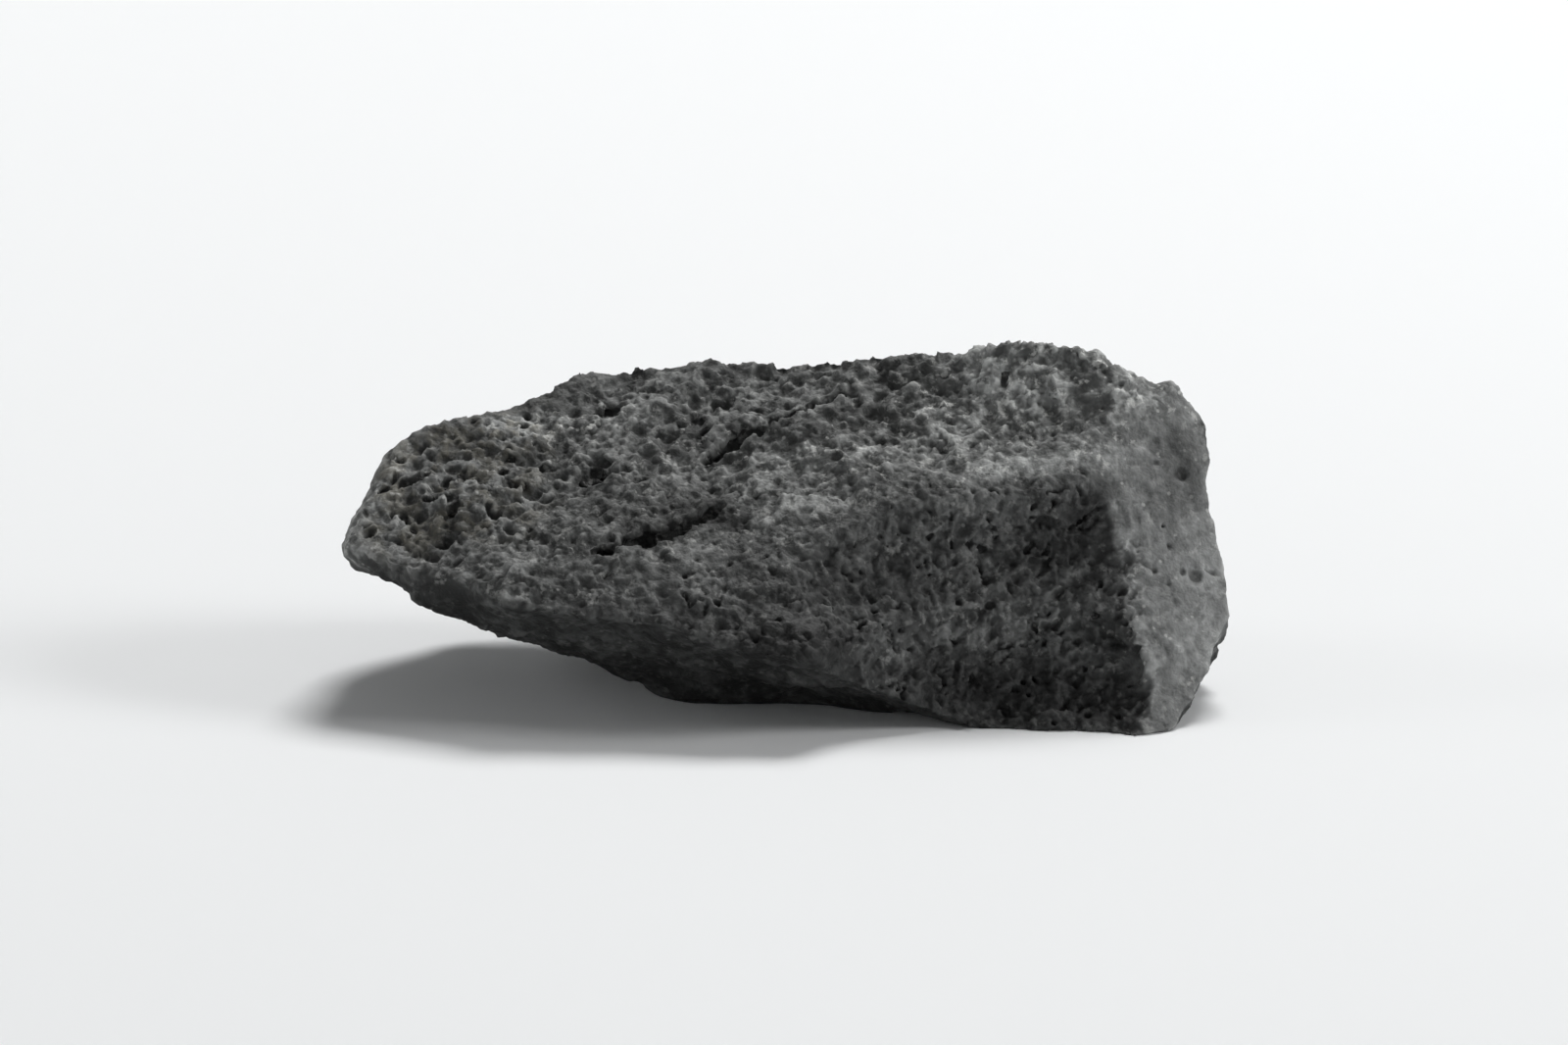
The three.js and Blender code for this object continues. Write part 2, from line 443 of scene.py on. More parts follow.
@dataclass(frozen=True)
class Relief:
    """One layer of relief that a procedural texture presses into the stone.

    Attributes:
        name: What the layer is.
        grain: The texture.
        size: How far apart its features lie, in millimetres.
        height: From its lowest to its highest, in millimetres.
        where: The surface that it acts on.
        depth: How many finer octaves the clouds have.
        reach: How wide the pits are, as a share of their spacing.
        bedded: Whether it is drawn out along the rock's bedding.
    """

    name: str
    grain: Grain
    size: float
    height: float
    where: Surface
    depth: int = 1
    reach: float = 0.3
    bedded: bool = False

    def texture(self) -> bpy.types.Texture:
        """Make the layer's texture, which is between 0 and 1.

        Returns:
            The texture.
        """
        kinds = {Grain.PLATES: "VORONOI", Grain.PITS: "DISTORTED_NOISE", Grain.COBBLES: "DISTORTED_NOISE"}
        kind = kinds.get(self.grain, "CLOUDS")
        made = bpy.data.textures.new(self.name, kind)
        made.noise_scale = self.size
        if kind == "CLOUDS":
            made.noise_depth = self.depth
            made.noise_type = "HARD_NOISE" if self.grain in (Grain.LUMPS, Grain.BITES) else "SOFT_NOISE"
        elif kind == "VORONOI":
            made.weight_1 = -1.0
            made.weight_2 = 1.0
            made.distance_metric = "MANHATTAN"
        else:
            made.noise_basis = "VORONOI_F1"
            made.distortion = 1.1
            made.contrast = 0.5  # with the intensity, turns -1 to 1 into 0 to 1
            made.intensity = 1.25
        if self.grain is Grain.PITS:
            self.shape(made, {self.reach * 0.3: 0.0, self.reach: 1.0})
        if self.grain is Grain.TERRACES:
            self.shape(made, {0.36: 0.0, 0.38: 0.35, 0.52: 0.4, 0.535: 0.75, 0.66: 0.8, 0.67: 1.0})
        return made

    @staticmethod
    def shape(texture: bpy.types.Texture, levels: dict[float, float]) -> None:
        """Send a texture's values through a curve.

        Args:
            texture: The texture.
            levels: The new value at each old one, in order.
        """
        texture.use_color_ramp = True
        ramp = texture.color_ramp
        ramp.interpolation = "EASE"
        for _ in range(len(levels) - len(ramp.elements)):
            ramp.elements.new(0.5)
        for element, (position, level) in zip(ramp.elements, levels.items()):
            element.position = position
            element.color = (level, level, level, 1.0)

    def press(self, piece: bpy.types.Object, bedding: bpy.types.Object) -> None:
        """Press the layer into a piece.

        Args:
            piece: The piece, at bench scale.
            bedding: The empty whose space is drawn out along the rock's bedding.
        """
        falls = self.grain in (Grain.COBBLES, Grain.BITES)
        middles = {Grain.PITS: 1.0, Grain.COBBLES: 0.5, Grain.PLATES: 0.3, Grain.BITES: 0.3}
        apply_modifier(
            piece,
            "DISPLACE",
            texture=self.texture(),
            texture_coords="OBJECT" if self.bedded else "LOCAL",
            texture_coords_object=bedding if self.bedded else None,
            vertex_group=self.where.value,
            mid_level=middles.get(self.grain, 0.5),
            strength=-self.height if falls else self.height,
        )


# The kinds of face, as the lists of faces and relief name them.
RIND, BAND, SCAR = Surface.WEATHERED, Surface.AGED, Surface.SCARRED
BREAK, HACKLE = Surface.FRESH, Surface.HACKLY


@dataclass
class StoneChip:
    """The chip itself: one solid with a weathered rind, clean breaks and hackly undersides.

    Attributes:
        coarse_voxel: The mesh's spacing while the large relief goes in, in millimetres.
        fine_voxel: The mesh's spacing while the fine relief goes in, in millimetres.
        crease_angle: The edges that stay crisp, in degrees.
        crease: How crisp they stay, from 0 to 1.
        facet_rounds: How many times the facets are subdivided.
        most_triangles: What the mesh is thinned to, before its foot is cut flat.
        face_blend: How wide one surface's relief runs into the next, in millimetres.
        tone_blend: How wide one surface's tone, with its painted light and shade, runs into the next, in
            millimetres.
        score_depth: The depth of a full score, in millimetres.
        rib_height: The height of the ribs in a scar, in millimetres.
        rib_spacing: The distance between ribs, in millimetres.
        nibble: How far the arrises are nibbled back, in millimetres.
        bedding_turn: The direction of the bedding on the rind, in degrees from X.
        bedding_stretch: How much longer bedded relief is along the bedding than across it.
        pitted_left: Where the most pitted stretch of the rind starts, from X to X.
        pitted_right: Where it ends, from X to X.
        pitted_front: Where its front edge lies, from Y to Y.
        smoothing: How many rounds each surface is smoothed before its relief goes in.
        zones: The faces and scars that bound the chip.
        scores: The cracks and pits that have their own places on the rind.
        light_and_shade_patches: The stretches where light and shade are painted in, paler or darker.
        coarse: The relief that goes in at the coarse spacing.
        fine: The relief that goes in at the fine spacing.
        piece: The mesh that is worked on.
    """

    coarse_voxel: float = 0.1
    fine_voxel: float = 0.071
    crease_angle: float = 33.0
    crease: float = 0.75
    facet_rounds: int = 2
    most_triangles: int = 190_000
    face_blend: float = 0.22
    tone_blend: float = 0.09
    score_depth: float = 0.55
    rib_height: float = 0.04
    rib_spacing: float = 1.1
    nibble: float = 0.3
    bedding_turn: float = 29.0
    bedding_stretch: float = 3.2
    pitted_left: Pair = (-13.4, -12.4)
    pitted_right: Pair = (-6.4, -8.2)
    pitted_front: Pair = (-3.2, -1.8)
    smoothing: tuple[tuple[Surface, int], ...] = ((RIND, 14), (BAND, 8), (Surface.ROLLED, 40))
    # The tones mix weathering with painted light and shade: painted shade on the undersides and in the
    # scars, painted light on the clean face, the tip and the fall from the crest.
    zones: tuple[Zone, ...] = (
        Face(RIND, 1.25, (-0.067, -0.438, 0.897), (0, 4, 9.3)),  # the rind, which slopes to the front
        Face(BAND, 0.7, (0.045, -0.685, 0.727), (6.3, -0.97, 7.35)),  # the band along the front
        Face(BREAK, 1.7, (0.43, -0.725, 0.54), (10.9, -0.5, 6.7)),  # the clean face of the blunt end
        Face(HACKLE, 1.1, (0.95, 0.3, 0), (14, -0.5, 4)),  # the blunt end
        Face(HACKLE, 0.7, (0.88, -0.12, -0.46), (14.2, -1.6, 2.6)),  # the underside of the blunt end
        Face(RIND, 1.5, (0.42, -0.2, 0.88), (12, 2.5, 9.3)),  # the fall from the crest to the blunt end
        Face(HACKLE, 0.4, (-0.2, -0.55, -0.81), (2, -6.4, 2.5)),  # under the band
        Face(HACKLE, 0.4, (-0.379, -0.08, -0.922), (-3.6, 0, 0)),  # the long rise to the tip
        Face(RIND, 1.2, (-0.62, -0.1, 0.78), (-12.9, 1.5, 6.65)),  # the top of the tip
        Face(HACKLE, 0.9, (-0.9, 0.3, 0.3), (-13.6, 0.2, 5.2)),  # the end of the tip
        Face(HACKLE, 0.52, (-0.5, -0.84, -0.1), (-10.8, -3.6, 4.3)),  # the front of the tip
        Face(RIND, 1.2, (0.04, 0.55, 0.83), (0, 5.1, 9.45)),  # behind the crest
        Face(HACKLE, 0.85, (0.05, 0.9, 0.42), (0, 6.9, 5.6)),  # the back
        Face(BREAK, 0.8, (-0.5, 0.76, 0.42), (-10.4, 4.6, 5.6)),  # behind the tip
        Face(BREAK, 0.8, (0.55, 0.78, 0.28), (10.6, 5.2, 5.2)),  # behind the blunt end
        Face(HACKLE, 0.7, (0, 0.8, -0.6), (0, 7.2, 2.4)),  # under the back
        Scar(SCAR, 0.66, (6.5, -6.05, 7.15), (9.7, 4.65, 4.95), 13, (11.4, -0.6, 9.2)),  # under the lip
        Scar(SCAR, 0.67, (7.6, -9.25, 3.3), (7.4, 6.65, 4.6), 18, (12.2, -5.4, 0.6)),  # the lower front
        Scar(SCAR, 0.7, (1.5, 15.6, 4.6), (10.5, 9.2, 7.4), 8, (6.5, 7.4, 1.6)),  # the back
        Scar(SCAR, 0.7, (-10.5, 12.6, 9.6), (8, 8.4, 8.6), 30, (-5.6, 6.0, 8.6)),  # behind the tip
        Scar(HACKLE, 0.6, (-9.2, -6.2, -4.6), (6, 5, 6.6), 20),  # under the tip
        Scar(HACKLE, 0.8, (18.2, 5, 4.2), (6, 5.4, 5.2), 17),  # the blunt end
    )
    scores: tuple[Score, ...] = (
        Score((-5.8, -3.4), (-1.8, -1.4), 0.2, 1.0),  # the lower crack
        Score((-2.3, 1.1), (0.2, 2.3), 0.19, 1.0),  # the upper crack
        Score((0.0, 2.2), (2.0, 3.2), 0.16, 1.0),  # the upper crack, further up
        Score((-5.88, 0.75), (-5.88, 0.75), 0.62, 1.0),  # the large pit
        Score((-5.35, 3.6), (-5.35, 3.6), 0.28, 0.8),  # a small pit above it
        Score((-1.8, 3.4), (-1.8, 3.4), 0.26, 0.7),  # a small pit by the upper crack
    )
    light_and_shade_patches: tuple[LightAndShadePatch, ...] = (
        # The right of the crest, with painted light.
        LightAndShadePatch(2.7, 3.8, ((6.1, 1.8, 8.8), (8.2, 3.0, 9.6), (11.0, 2.6, 9.4))),
        # The bulge below the upper crack, and the slope below that, with painted light.
        LightAndShadePatch(1.9, 1.5, ((-0.9, 0.2, 7.4), (0.5, 0.2, 7.5), (2.7, 0.2, 7.6))),
        LightAndShadePatch(2.6, 1.1, ((0.9, 0.2, 7.5), (2.3, 0.1, 7.6))),
        LightAndShadePatch(1.8, 1.2, ((-0.1, -1.0, 6.9), (0.1, -1.9, 6.4), (1.6, -1.1, 6.9))),
        LightAndShadePatch(1.1, 1.0, ((0.3, -3.2, 5.6), (1.0, -2.6, 6.0))),
        # Painted shade round the lower crack.
        LightAndShadePatch(0.7, 1.2, ((-5.2, -3.2, 5.4), (-3.5, -2.3, 6.0), (-1.8, -1.8, 6.3))),
        LightAndShadePatch(0.35, 0.75, ((-2.7, -1.5, 6.3), (-2.0, -1.0, 6.6))),
        LightAndShadePatch(0.55, 1.1, ((-3.2, -1.0, 6.6), (-2.5, -0.6, 6.9))),
        # Painted shade inside the large pit, and inside the lower crack.
        LightAndShadePatch(0.08, 0.85, ((-5.9, 0.5, 6.9), (-5.85, 0.9, 7.1))),
        LightAndShadePatch(0.3, 0.6, ((-5.0, -2.9, 5.3), (-4.1, -2.75, 5.4), (-3.1, -2.15, 5.8), (-2.2, -1.7, 6.1))),
        # The left of the crest, down to the small pits, with painted light.
        LightAndShadePatch(2.9, 1.3, ((-8.3, 2.8, 8.1), (-6.6, 2.9, 8.3), (-5.2, 3.0, 8.4))),
        LightAndShadePatch(1.5, 1.0, ((-4.0, 2.8, 8.5), (-3.1, 2.8, 8.5))),
        LightAndShadePatch(1.5, 1.0, ((-3.6, 1.6, 7.8), (-2.9, 2.2, 8.1))),
        # The lip with a painted highlight, and painted light below its left end.
        LightAndShadePatch(2.6, 0.75, ((5.8, -1.0, 7.3), (6.8, -0.8, 7.5), (8.8, -0.3, 7.7), (10.4, 0.0, 7.8)), 1.0),
        LightAndShadePatch(0.95, 0.9, ((5.2, -1.3, 6.5), (6.6, -1.1, 6.6))),
        # The rim of the tip, with painted light.
        LightAndShadePatch(
            2.0, 1.7, ((-13.8, -1.4, 4.9), (-13.4, -0.4, 5.7), (-12.8, 1.0, 6.5), (-12.2, 1.6, 7.1)), 0.8
        ),
        # The upper left of the band with painted light, then painted shade along its lower edge.
        LightAndShadePatch(1.2, 1.0, ((-4.9, -4.4, 4.7), (-3.5, -4.3, 4.7), (-2.1, -4.1, 4.8))),
        LightAndShadePatch(0.45, 1.2, ((-5.0, -5.6, 3.9), (-2.8, -5.7, 3.5), (-1.1, -5.9, 3.2))),
        LightAndShadePatch(0.15, 1.6, ((-0.6, -5.9, 3.0), (0.3, -5.7, 3.2), (1.6, -5.3, 3.2))),
        # Painted shade along the seam between the band and the scars.
        LightAndShadePatch(0.4, 1.0, ((0.3, -4.4, 4.5), (2.0, -3.6, 4.3), (3.7, -2.8, 4.5))),
        # The ridge between the two front scars, and the streak below it, with painted light.
        LightAndShadePatch(0.9, 0.6, ((4.2, -3.5, 3.4), (5.6, -3.0, 3.5), (6.8, -2.6, 3.6), (10.3, -2.7, 3.6))),
        LightAndShadePatch(1.1, 0.7, ((2.8, -4.6, 2.5), (4.1, -3.7, 2.6), (6.8, -2.6, 2.8), (8.9, -2.6, 2.9))),
        # Painted shade in the deep end of the upper scar.
        LightAndShadePatch(0.34, 1.3, ((7.8, -1.6, 5.0), (8.8, -1.5, 5.2), (9.7, -1.4, 5.5))),
        LightAndShadePatch(0.3, 0.8, ((9.4, -1.1, 6.2), (10.2, -0.95, 6.8))),
        # Painted shade at the foot of the lower scar.
        LightAndShadePatch(0.2, 1.8, ((4.8, -4.0, 1.2), (6.4, -3.5, 1.0), (8.8, -3.4, 0.8), (10.2, -4.0, 0.7))),
        # Painted shade at the top of the clean face.
        LightAndShadePatch(0.9, 1.6, ((12.6, 1.1, 7.5), (12.6, 0.5, 6.7), (12.6, 0.1, 6.1))),
        # Painted highlights on the front arris of the clean face, then on its right side.
        LightAndShadePatch(2.2, 0.45, ((10.6, -1.0, 6.2), (10.9, -2.1, 4.3), (11.2, -3.1, 2.9), (11.6, -4.1, 1.3))),
        LightAndShadePatch(3.4, 0.6, ((10.85, -1.5, 5.3), (11.1, -2.2, 4.3))),
        LightAndShadePatch(2.3, 1.5, ((13.4, -0.1, 5.1), (13.5, -1.4, 3.4), (13.1, -2.4, 2.2))),
    )
    coarse: tuple[Relief, ...] = (
        Relief("rind_swells", Grain.SWELLS, 2.6, 0.36, RIND),
        Relief("rind_lumps", Grain.LUMPS, 1.25, 0.28, RIND, 2),
        Relief("rind_beds", Grain.SWELLS, 0.8, 0.22, RIND, 2, bedded=True),
        Relief("old_bites", Grain.BITES, 1.3, 0.24, Surface.PITTED),
        Relief("band_swells", Grain.SWELLS, 2.2, 0.26, BAND),
        Relief("band_lumps", Grain.LUMPS, 1.0, 0.22, BAND, 2),
        Relief("scar_swells", Grain.SWELLS, 3.0, 0.18, SCAR),
        Relief("scar_lumps", Grain.LUMPS, 1.0, 0.26, SCAR, 2),
        Relief("break_swells", Grain.SWELLS, 3.0, 0.16, BREAK),
        Relief("break_lumps", Grain.LUMPS, 1.0, 0.1, BREAK, 2),
        Relief("hackle_lumps", Grain.LUMPS, 1.9, 0.45, HACKLE, 2),
        Relief("hackle_plates", Grain.PLATES, 1.5, 0.22, HACKLE),
    )
    fine: tuple[Relief, ...] = (
        Relief("rind_pits", Grain.PITS, 1.5, 0.22, Surface.SPOTTED, reach=0.26),
        Relief("rind_cobbles", Grain.COBBLES, 0.8, 0.28, RIND),
        Relief("rind_bites", Grain.BITES, 0.6, 0.24, RIND, 2),
        Relief("rind_grains", Grain.COBBLES, 0.36, 0.1, RIND),
        Relief("old_pits", Grain.PITS, 1.3, 0.3, Surface.PITTED, reach=0.34),
        Relief("rind_grit", Grain.LUMPS, 0.22, 0.08, RIND),
        Relief("band_pits", Grain.PITS, 0.85, 0.2, BAND, reach=0.3),
        Relief("band_cobbles", Grain.COBBLES, 0.6, 0.2, BAND),
        Relief("band_bites", Grain.BITES, 0.45, 0.14, BAND, 2),
        Relief("band_grit", Grain.LUMPS, 0.22, 0.07, BAND),
        Relief("scar_terraces", Grain.TERRACES, 3.4, 0.13, SCAR, 2),
        Relief("scar_pits", Grain.PITS, 0.8, 0.26, SCAR, reach=0.32),
        Relief("scar_cobbles", Grain.COBBLES, 0.55, 0.25, SCAR),
        Relief("scar_bites", Grain.BITES, 0.45, 0.19, SCAR, 2),
        Relief("scar_grit", Grain.LUMPS, 0.22, 0.07, SCAR),
        Relief("break_terraces", Grain.TERRACES, 3.4, 0.1, BREAK, 2),
        Relief("break_dimples", Grain.PITS, 1.3, 0.13, BREAK, reach=0.22),
        Relief("break_cobbles", Grain.COBBLES, 0.75, 0.08, BREAK),
        Relief("break_grain", Grain.BITES, 0.3, 0.045, BREAK, 2),
        Relief("hackle_splinters", Grain.PLATES, 0.7, 0.12, HACKLE),
        Relief("hackle_grit", Grain.LUMPS, 0.3, 0.09, HACKLE, 2),
    )
    piece: bpy.types.Object = field(init=False)

    def lift(self) -> None:
        """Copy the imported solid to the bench, with its loose triangles merged."""
        pick_only(frame["nodes"][STONE_NODE])
        bpy.ops.object.duplicate()
        self.piece = bpy.context.view_layer.objects.active
        self.piece.name = self.piece.data.name = STONE_PIECE
        self.piece.data.materials.clear()
        self.resize(BENCH_SCALE)
        in_edit_mode(self.piece, lambda: bpy.ops.mesh.remove_doubles(threshold=MERGE_GAP))

    def resize(self, scale: float) -> None:
        """Scale the mesh about the origin.

        Args:
            scale: How much larger it becomes.
        """
        self.piece.scale = (scale,) * 3
        pick_only(self.piece)
        bpy.ops.object.transform_apply(location=False, rotation=False, scale=True)

    def round_facets(self) -> None:
        """Round the facets within each face, and keep the arrises between faces crisp."""
        pick_only(self.piece)
        bpy.ops.object.mode_set(mode="EDIT")
        bpy.ops.mesh.select_all(action="DESELECT")
        bpy.ops.mesh.select_mode(type="EDGE")
        bpy.ops.mesh.edges_select_sharp(sharpness=math.radians(self.crease_angle))
        bpy.ops.transform.edge_crease(value=self.crease)
        bpy.ops.object.mode_set(mode="OBJECT")
        apply_modifier(self.piece, "SUBSURF", levels=self.facet_rounds, render_levels=self.facet_rounds)

    def remesh(self, voxel: float) -> Skin:
        """Even out the mesh and sort its surface again.

        Args:
            voxel: The new spacing, in millimetres.

        Returns:
            The new vertices.
        """
        apply_modifier(self.piece, "REMESH", mode="VOXEL", voxel_size=voxel)
        self.drop_crumbs()
        skin = Skin(self.piece)
        LOG.info("%s: %d vertices at %.3f mm", STONE_PIECE, skin.count, voxel)
        self.sort_surfaces(skin)
        return skin

    def drop_crumbs(self) -> None:
        """Take away crumbs that the remeshing left loose, and keep the chip itself."""
        bpy.ops.object.mode_set(mode="EDIT")
        bpy.ops.mesh.select_all(action="DESELECT")
        bpy.ops.object.mode_set(mode="OBJECT")
        vertices = self.piece.data.vertices
        max(vertices, key=lambda vertex: vertex.co.x).select = True
        bpy.ops.object.mode_set(mode="EDIT")
        bpy.ops.mesh.select_mode(type="VERT")
        bpy.ops.mesh.select_linked()
        bpy.ops.mesh.select_all(action="INVERT")
        bpy.ops.mesh.delete(type="VERT")
        bpy.ops.object.mode_set(mode="OBJECT")

    def claims(self, skin: Skin, blend: float) -> np.ndarray:
        """Say how surely each vertex belongs to each zone.

        Args:
            skin: The chip's vertices.
            blend: How wide one zone runs into the next, in millimetres.

        Returns:
            A row of weights for each zone. They add up to 1 at each vertex.
        """
        proud = np.stack([zone.proud(skin) for zone in self.zones])
        claims = np.exp(np.clip((proud - proud.max(axis=0)) / blend, -20.0, 0.0))
        return claims / claims.sum(axis=0)

    def shares(self, skin: Skin) -> dict[Surface, np.ndarray]:
        """Say how surely each vertex belongs to each kind of surface.

        Args:
            skin: The chip's vertices.

        Returns:
            Weights from 0 to 1, which add up to 1 at each vertex.
        """
        kinds = {kind: np.zeros(skin.count) for kind in (RIND, BAND, SCAR, BREAK, HACKLE)}
        for zone, claim in zip(self.zones, self.claims(skin, self.face_blend)):
            kinds[zone.kind] += claim
        return kinds

    def tone(self, skin: Skin) -> np.ndarray:
        """Say what the finish's colour is multiplied by at each vertex, which paints light and shade in as
        well as the weathering.

        Args:
            skin: The chip's vertices.

        Returns:
            One tone for each vertex.
        """
        tone = np.array([zone.tone for zone in self.zones]) @ self.claims(skin, self.tone_blend)
        for patch in self.light_and_shade_patches:
            tone += (patch.tone - tone) * patch.share(skin)
        return tone

    def pitted(self, skin: Skin) -> np.ndarray:
        """Weigh the left of the rind, where the old pits lie thickest.

        Args:
            skin: The chip's vertices.

        Returns:
            One weight for each vertex, from 0 to 1.
        """
        x, y = skin.cut_places[:, 0], skin.cut_places[:, 1]
        across = smooth_step(*self.pitted_right, x) * smooth_step(*self.pitted_left, x)
        return across * smooth_step(*self.pitted_front, y)

    def sort_surfaces(self, skin: Skin) -> None:
        """Make the vertex groups that relief is pressed through.

        Args:
            skin: The chip's vertices.
        """
        height = skin.places[:, 2]
        off_foot = 1.0 - smooth_step(0.5, 0.15, height) * smooth_step(-0.6, -0.9, skin.normals[:, 2])
        shares = self.shares(skin)
        worn = np.max([patch.worn * patch.share(skin) for patch in self.light_and_shade_patches], axis=0)
        skin.group(Surface.ROLLED, worn)
        for kind, share in shares.items():
            skin.group(kind, share * off_foot * (1.0 - 0.5 * worn))
        skin.group(Surface.PITTED, shares[RIND] * self.pitted(skin))
        rind = np.flatnonzero(shares[RIND] > 0.3)
        spots = np.zeros(skin.count)
        spots[rind] = smooth_step(-0.05, 0.3, skin.wander(2.4, 7.9, rind))
        skin.group(Surface.SPOTTED, spots)

    def nibble_arrises(self, skin: Skin) -> None:
        """Chip the sharp arrises back unevenly.

        Args:
            skin: The chip's vertices.
        """
        ridge = skin.averaged(smooth_step(0.025, 0.075, -skin.hollowness(10)), 3)
        near = np.flatnonzero(ridge > 0.01)
        bites = np.zeros(skin.count)
        coarse, fine = skin.wander(1.5, 3.7, near), skin.wander(0.5, 8.1, near)
        bites[near] = smooth_step(-0.25, 0.7, coarse + 0.6 * fine)
        above_floor = smooth_step(0.05, 0.6, skin.places[:, 2])
        self.press(skin, Surface.ARRIS, ridge * bites * above_floor, -self.nibble)

    def smooth(self, where: Surface, rounds: int) -> None:
        """Smooth a vertex group's vertices a number of times."""
        apply_modifier(self.piece, "SMOOTH", factor=0.5, iterations=rounds, vertex_group=where.value)

    def press(self, skin: Skin, where: Surface, weights: np.ndarray, height: float) -> None:
        """Move vertices along their normals, by their weights.

        Args:
            skin: The chip's vertices.
            where: The vertex group that keeps the weights.
            weights: One weight for each vertex, from 0 to 1.
            height: How far a full weight moves out, in millimetres.
        """
        skin.group(where, weights)
        apply_modifier(
            self.piece, "DISPLACE", vertex_group=where.value, mid_level=0.0, strength=height
        )

    def score_rind(self, skin: Skin) -> None:
        """Press in the cracks and pits that have their own places.

        Args:
            skin: The chip's vertices.
        """
        rind = self.shares(skin)[RIND]
        near = np.flatnonzero(rind > 0.5)
        uneven = np.zeros(skin.count)
        uneven[near] = skin.wander(0.45, 5.5, near)
        weights = np.max([score.weight(skin, uneven) for score in self.scores], axis=0)
        self.press(skin, Surface.SCORED, weights * smooth_step(0.5, 0.9, rind), -self.score_depth)

    def rib_scars(self, skin: Skin) -> None:
        """Raise faint ribs round the point where each blow landed.

        Args:
            skin: The chip's vertices.
        """
        proud = np.stack([zone.proud(skin) for zone in self.zones])
        owner = proud.argmax(axis=0)
        weights = np.zeros(skin.count)
        for index, zone in enumerate(self.zones):
            if isinstance(zone, Scar) and zone.blow:
                inside = np.flatnonzero(owner == index)
                away = np.linalg.norm(skin.cut_places[inside] - np.array(zone.blow), axis=1)
                away += 0.55 * skin.wander(2.0, 2.2, inside)
                wave = 0.5 + 0.5 * np.cos(2 * np.pi * away / self.rib_spacing)
                faint = smooth_step(-0.3, 0.5, skin.wander(2.6, 6.4, inside))
                weights[inside] = wave**2 * faint * smooth_step(0.0, 1.5, away)
        self.press(skin, Surface.RIBBED, skin.averaged(weights, 3), self.rib_height)

    def thin(self) -> None:
        """Take out the triangles that the shape doesn't need."""
        triangles = sum(len(polygon.vertices) - 2 for polygon in self.piece.data.polygons)
        if triangles > self.most_triangles:
            apply_modifier(self.piece, "DECIMATE", ratio=self.most_triangles / triangles)

    def flatten_foot(self) -> None:
        """Cut the base off flat where the chip rests, so finely that no sliver is left at its edge."""
        in_edit_mode(
            self.piece,
            lambda: bpy.ops.mesh.bisect(
                plane_co=(0, 0, 0),
                plane_no=(0, 0, 1),
                use_fill=True,
                clear_inner=True,
                threshold=CUT_GAP,
            ),
        )

    def mark_surfaces(self) -> None:
        """Keep what the finish needs to know as attributes, in place of the vertex groups."""
        self.piece.vertex_groups.clear()
        skin = Skin(self.piece)
        shares = self.shares(skin)
        # The tone paints light and shade into the colour, as well as the weathering.
        skin.attribute("tone", self.tone(skin))
        skin.attribute("fresh", shares[BREAK] + 0.5 * (shares[BAND] + shares[SCAR]))
        skin.attribute("pitted", shares[RIND] * self.pitted(skin))
        # Painted shade in the small and the wide hollows, and paler arrises that are partly rubbed wear
        # and partly a painted highlight.
        skin.attribute("hollow", smooth_step(-0.03, 0.03, skin.hollowness(3)))
        skin.attribute("sunken", smooth_step(-0.02, 0.14, skin.hollowness(30)))
        skin.attribute("ridge", smooth_step(0.02, 0.11, -skin.hollowness(12)))

    def press_all(self, layers: Sequence[Relief]) -> None:
        """Press in layers of relief, one after another.

        Args:
            layers: The layers, in order.
        """
        bpy.ops.object.empty_add(rotation=(0.0, 0.0, math.radians(self.bedding_turn)))
        bedding = bpy.context.active_object
        bedding.scale = (self.bedding_stretch, 1.0, 1.0)
        for layer in layers:
            layer.press(self.piece, bedding)
        pick_only(bedding)
        bpy.ops.object.delete()

    def build(self) -> bpy.types.Object:
        """Make the finished mesh.

        Returns:
            The chip, in metres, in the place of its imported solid.
        """
        self.lift()
        self.round_facets()
        self.remesh(self.coarse_voxel)
        for where, rounds in self.smoothing:
            self.smooth(where, rounds)
        self.press_all(self.coarse)
        skin = self.remesh(self.fine_voxel)
        self.nibble_arrises(skin)
        self.rib_scars(skin)
        self.score_rind(skin)
        self.press_all(self.fine)
        self.thin()
        self.flatten_foot()
        self.mark_surfaces()
        self.resize(1 / BENCH_SCALE)
        pick_only(self.piece)
        bpy.ops.object.shade_smooth()
        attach(self.piece, "root")
        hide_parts(STONE_NODE)
        return self.piece


